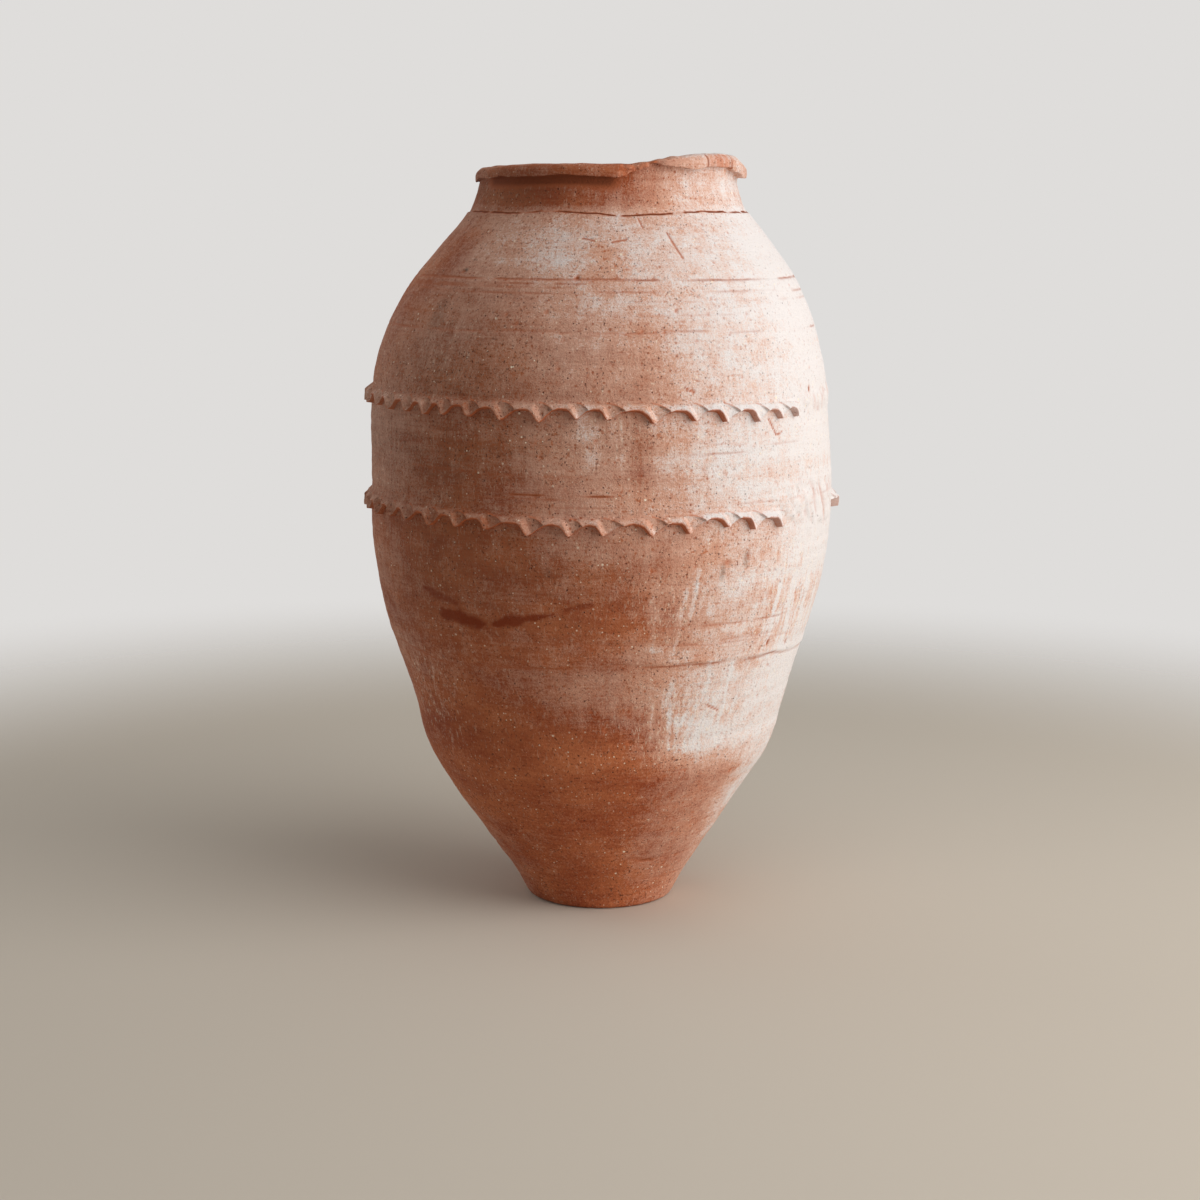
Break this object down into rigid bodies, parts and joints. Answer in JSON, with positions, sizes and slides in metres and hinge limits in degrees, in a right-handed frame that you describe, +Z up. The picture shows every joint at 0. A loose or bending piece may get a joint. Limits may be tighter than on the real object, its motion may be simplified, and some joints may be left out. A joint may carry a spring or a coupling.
{
  "type": "storage jar",
  "caption": "Tall ovoid terracotta storage jar with a narrow flat foot, thumb-pressed clay bands round the belly and an uneven folded lip.",
  "frame": {"origin": "centre of the foot's flat underside, on the surface that the jar stands on", "axes": "+Z up along the jar's axis; -Y towards the pictured front; +X to the front's right, where the rim stands highest"},
  "size_m": [0.4352, 0.4352, 0.6825],
  "materials": {
    "bare_terracotta": "unglazed, matte, orange-red",
    "bloomed_terracotta": "unglazed, matte, pinkish under a pale lime bloom"
  },
  "bodies": {
    "root": {"base_dish": "bare_terracotta", "foot_coil": "bare_terracotta", "cone_wall": "bare_terracotta", "lower_belly": "bloomed_terracotta", "middle_belly": "bloomed_terracotta", "banded_belly": "bloomed_terracotta", "upper_belly": "bloomed_terracotta", "shoulder_coil": "bloomed_terracotta", "neck_slope": "bloomed_terracotta", "neck_collar": "bloomed_terracotta", "rim_lip": "bloomed_terracotta", "lower_thumbed_band": "bloomed_terracotta", "upper_thumbed_band": "bloomed_terracotta"}
  },
  "joints": []
}
